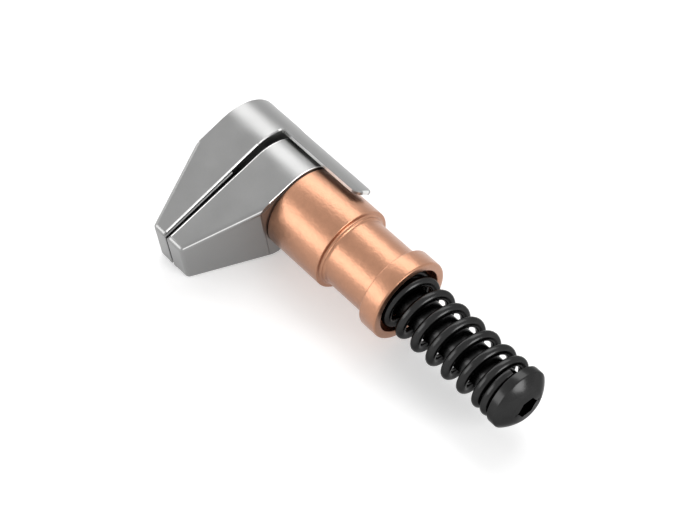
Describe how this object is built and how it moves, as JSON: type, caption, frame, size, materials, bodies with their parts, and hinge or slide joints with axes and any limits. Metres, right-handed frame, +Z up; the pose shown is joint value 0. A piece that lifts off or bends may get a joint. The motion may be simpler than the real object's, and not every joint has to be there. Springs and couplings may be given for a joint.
{
  "type": "sheet metal edge clamp",
  "caption": "Spring-loaded clamp for sheet edges: two pressed jaws, the outer one with a guide tab, a copper-plated sleeve, a coil spring and a button-head plunger screw.",
  "frame": {"origin": "on the plunger axis, at the rear face of the collar", "axes": "+X along the plunger towards the screw head, jaws towards -Y, +Z up, with the clamp lying on one wall of its moving jaw"},
  "size_m": [0.0587, 0.0258, 0.0143],
  "materials": {
    "jaw_steel": "pressed sheet steel, satin",
    "copper_plate": "steel with a satin copper plating",
    "bush_bronze": "turned bronze",
    "black_steel": "black oxide, oiled"
  },
  "bodies": {
    "body": {"fixed_jaw": "jaw_steel", "fixed_jaw_core": "jaw_steel", "sleeve": "copper_plate", "guide_bush": "bush_bronze", "spring_seat_washer": "black_steel", "return_spring": "black_steel"},
    "plunger": {"moving_jaw": "jaw_steel", "moving_jaw_core": "jaw_steel", "plunger_screw": "black_steel", "lock_washer": "black_steel", "jaw_nut": "black_steel"}
  },
  "joints": [
    {"name": "plunger_slide", "type": "slide", "parent": "body", "child": "plunger", "axis": [-1, 0, 0], "range_m": [0, 0.01], "stiffness_N_per_m": 1500, "springref_m": -0.004, "deforming": ["return_spring"]}
  ]
}
